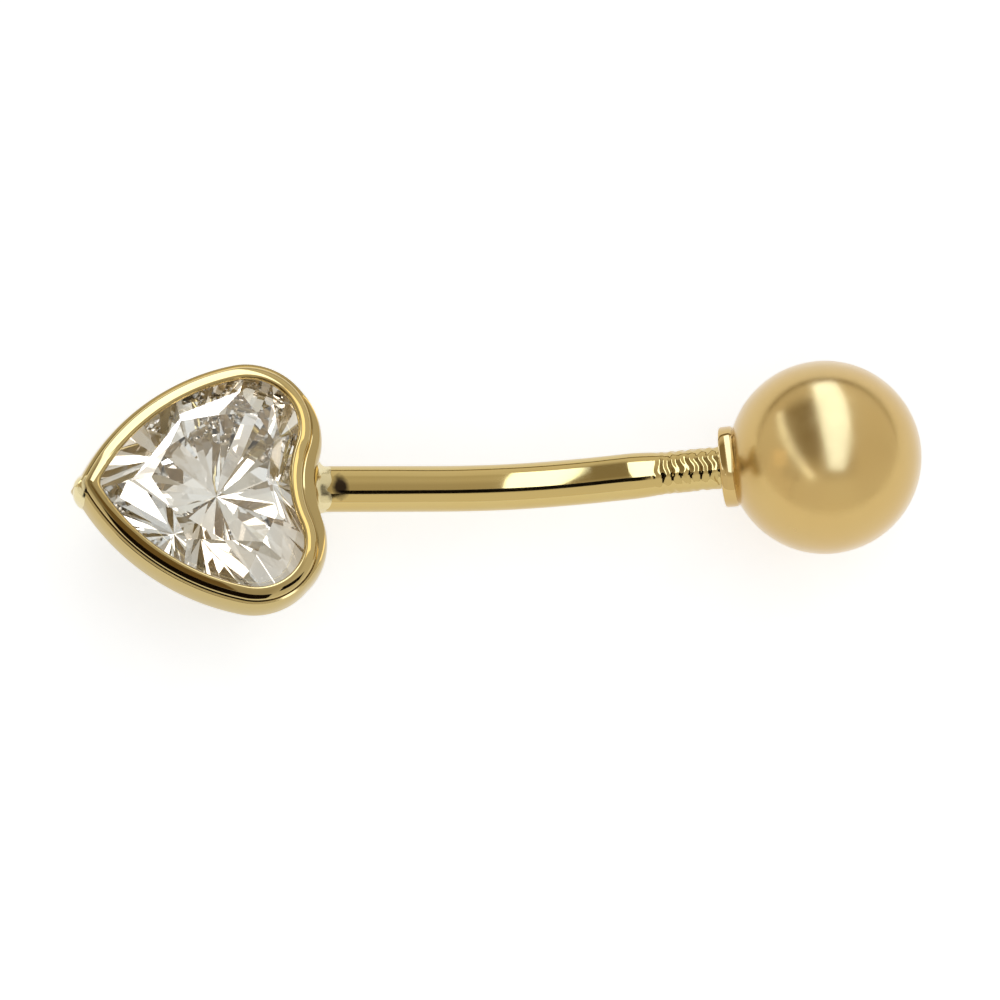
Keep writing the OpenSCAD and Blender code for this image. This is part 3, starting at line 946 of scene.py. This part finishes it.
class RING_OT_ball(bpy.types.Operator):
    """Hollow gold ball with its collar and the tapped hole"""

    bl_idname = "ring.ball"
    bl_label = "Screw ball"

    def execute(self, context):
        h = heart()
        start = math.asin(h.collar_r / h.ball_r)
        profile = [(POLE_R, -h.ball_r)]
        for i in range(1, BALL_STEPS + 1):
            a = math.pi - (math.pi - start) * i / BALL_STEPS
            profile.append((h.ball_r * math.sin(a), h.ball_r * math.cos(a)))
        profile += [
            (h.collar_r - 0.03, h.collar_root + 0.04),
            (h.collar_r, h.collar_root + 0.09),
            (h.collar_r, h.collar_face - COLLAR_BEVEL),
            (h.collar_r - COLLAR_BEVEL * 0.3, h.collar_face - COLLAR_BEVEL * 0.3),
            (h.collar_r - COLLAR_BEVEL, h.collar_face),
            (BORE_R + BORE_BEVEL, h.collar_face),
            (BORE_R, h.collar_face - BORE_BEVEL),
            (BORE_R, BORE_END),
            (POLE_R, BORE_END),
        ]
        angles = [2 * math.pi * k / BALL_SIDES for k in range(BALL_SIDES)]
        rings = [[Vector((r * math.cos(a), r * math.sin(a), z)) for a in angles] for r, z in profile]
        bm = bmesh.new()
        # Past the ball itself, the collar and the bore are turned and not buffed
        for row in skin(bm, rings, caps=True)[BALL_STEPS:]:
            for face in row:
                face.material_index = 1
        place = h.lie @ Matrix.Translation(h.ball_c) @ Matrix.Rotation(-math.pi / 2 - h.bend, 4, "Y")
        colour = context.scene.navel_ring.ball.gold
        metals = [
            polished_gold("gold_satin_ball", colour, 0.22, 0.0),
            polished_gold("gold_turned_ball_collar", colour, 0.07, 0.02),
        ]
        finish_piece("gold_ball", bm, place, "ball", "screw_ball", metals, 35)
        return {"FINISHED"}


class RING_OT_stage(bpy.types.Operator):
    """Pale floor, soft studio light and the camera at the photograph's angle"""

    bl_idname = "ring.stage"
    bl_label = "Stage"

    def execute(self, context):
        scene, stage = context.scene, context.scene.navel_ring.stage
        scene.view_settings.view_transform = "Standard"
        flat_sheet("floor", FLOOR_SIDE, FLOOR_SIDE, Matrix(), lit_acrylic(stage.floor, stage.glow))
        self.camera(scene, stage)
        self.tent(scene)
        for row in SOFTBOXES:
            self.softbox(scene, *row)
        for row in FLAGS:
            self.flag(*row)
        scene.cycles.max_bounces = 24
        scene.cycles.glossy_bounces = 16
        scene.cycles.transmission_bounces = 16
        return {"FINISHED"}

    def camera(self, scene, stage):
        """The camera, whose lens gives the photograph's scale at its distance."""
        az, el = stage.azimuth, stage.elevation
        back = Vector((math.sin(az) * math.cos(el), -math.cos(az) * math.cos(el), math.sin(el)))
        right = Vector((math.cos(az), math.sin(az), 0))
        up = back.cross(right)
        right, up = (
            right * math.cos(stage.roll) + up * math.sin(stage.roll),
            up * math.cos(stage.roll) - right * math.sin(stage.roll),
        )
        camera = bpy.data.objects.new("camera", bpy.data.cameras.new("camera"))
        scene.collection.objects.link(camera)
        turned = Matrix((right, up, back)).transposed().to_4x4()
        camera.matrix_world = Matrix.Translation(Vector(stage.centre) + back * stage.distance) @ turned
        camera.data.sensor_width = FILM_WIDTH
        camera.data.lens = PIXELS_PER_MM * stage.distance / MM / PHOTO_SIDE * FILM_WIDTH
        camera.data.clip_start = 0.005
        scene.camera = camera

    def spanned(self, first, last, width, distance, centre):
        """Place, facing and two sides in metres of a rectangle that spans two directions."""
        first, last = Vector(first).normalized(), Vector(last).normalized()
        middle = (first + last) / 2
        along = (last - first).normalized()
        across = along.cross(middle).normalized()
        turned = Matrix((across, along, across.cross(along))).transposed().to_4x4()
        wide = 2 * middle.length * math.tan(math.radians(width) / 2)
        sides = wide * distance * MM, (last - first).length * distance * MM
        return Vector(centre) * MM + middle * distance * MM, middle, turned, sides

    def softbox(self, scene, name, first, last, width, distance, centre, radiance, colour, piece):
        """A softbox that the camera does not see and that lights one piece."""
        place, middle, turned, sides = self.spanned(first, last, width, distance, centre)
        if (turned.to_3x3() @ Vector((0, 0, 1))).dot(middle) < 0:
            turned = turned @ Matrix.Rotation(math.pi, 4, "Y")
        lamp = bpy.data.lights.new(name, "AREA")
        lamp.shape = "RECTANGLE"
        lamp.size, lamp.size_y = sides
        lamp.color = linear(colour)[:3]
        lamp.energy = radiance * math.pi * lamp.size * lamp.size_y
        box = bpy.data.objects.new(name, lamp)
        box.matrix_world = Matrix.Translation(place) @ turned
        box.visible_camera = False
        scene.collection.objects.link(box)
        lit = bpy.data.collections.new(name + "_pieces")
        lit.objects.link(bpy.data.objects[piece])
        box.light_linking.receiver_collection = lit

    def flag(self, name, first, last, width, distance, centre, colour):
        """A small matt card near the ring, seen only in reflections, that draws a dark line."""
        place, _, turned, sides = self.spanned(first, last, width, distance, centre)
        card = flat_sheet(name, *sides, Matrix.Translation(place) @ turned, flocked_velvet(colour))
        for ray in ("camera", "diffuse", "transmission", "shadow"):
            setattr(card, "visible_" + ray, False)

    def tent(self, scene):
        """Light tent round the ring: pale walls, darker over the ring and to the left."""
        world = bpy.data.worlds.new("light_tent")
        world.use_nodes = True
        scene.world = world
        tree = world.node_tree
        tree.nodes.clear()
        output = add(tree, "ShaderNodeOutputWorld")
        place = add(tree, "ShaderNodeTexCoord").outputs["Generated"]
        way = add(tree, "ShaderNodeSeparateXYZ", links={"Vector": place})
        front = add(tree, "ShaderNodeMath", {"operation": "MULTIPLY", 1: -1.0}, {0: way.outputs["Y"]})
        over = add(
            tree, "ShaderNodeMath", {"operation": "ARCTAN2"}, {0: way.outputs["Z"], 1: front.outputs[0]}
        )
        share = add(tree, "ShaderNodeMath", {"operation": "DIVIDE", 1: math.pi}, {0: over.outputs[0]})
        across = add(
            tree, "ShaderNodeMath", {"operation": "MULTIPLY_ADD", 1: 0.5, 2: 0.5}, {0: way.outputs["X"]}
        )
        colour = None
        for edges, stops in TENT:
            wall = add(tree, "ShaderNodeValToRGB", links={"Fac": share.outputs[0]})
            set_stops(wall, [(position, linear(tone)) for position, tone in stops])
            if colour is None:
                colour = wall.outputs["Color"]
                continue
            where = add(tree, "ShaderNodeValToRGB", links={"Fac": across.outputs[0]})
            set_stops(where, edges)
            mix = add(
                tree,
                "ShaderNodeMix",
                {"data_type": "RGBA"},
                {0: where.outputs["Color"], 6: colour, 7: wall.outputs["Color"]},
            )
            colour = mix.outputs[2]
        light = add(tree, "ShaderNodeBackground", {"Strength": 1.0}, {"Color": colour})
        tree.links.new(light.outputs["Background"], output.inputs["Surface"])


class RingSizes(bpy.types.PropertyGroup):
    stone: PointerProperty(type=StoneSizes, name="Stone", description="Sizes of the stone")
    bezel: PointerProperty(type=BezelSizes, name="Bezel", description="Sizes of the bezel")
    bar: PointerProperty(type=BarSizes, name="Bar", description="Sizes of the bar")
    ball: PointerProperty(type=BallSizes, name="Ball", description="Sizes of the ball")
    stage: PointerProperty(type=StageSizes, name="Stage", description="Camera and floor")


class RING_PT_panel(bpy.types.Panel):
    bl_label = "Navel ring"
    bl_idname = "RING_PT_panel"
    bl_space_type = "VIEW_3D"
    bl_region_type = "UI"
    bl_category = "Navel ring"

    def draw(self, context):
        for group, operator in STEPS_IN_ORDER:
            box = self.layout.box()
            sizes = getattr(context.scene.navel_ring, group)
            for name in sizes.bl_rna.properties.keys():
                if name not in ("rna_type", "name"):
                    box.prop(sizes, name)
            box.operator(operator.bl_idname)


STEPS_IN_ORDER = [
    ("bezel", RING_OT_bezel),
    ("bar", RING_OT_bar),
    ("stone", RING_OT_stone),
    ("ball", RING_OT_ball),
    ("stage", RING_OT_stage),
]
CLASSES = [StoneSizes, BezelSizes, BarSizes, BallSizes, StageSizes, RingSizes]
CLASSES += [operator for _, operator in STEPS_IN_ORDER] + [RING_PT_panel]


def register():
    for kind in CLASSES:
        bpy.utils.register_class(kind)
    bpy.types.Scene.navel_ring = PointerProperty(
        type=RingSizes, name="Navel ring", description="Sizes of the navel ring"
    )


def unregister():
    del bpy.types.Scene.navel_ring
    for kind in reversed(CLASSES):
        bpy.utils.unregister_class(kind)


def main():
    register()
    bpy.ops.ring.bezel()
    bpy.ops.ring.bar()
    bpy.ops.ring.stone()
    bpy.ops.ring.ball()
    bpy.ops.ring.stage()


if __name__ == "__main__":
    main()
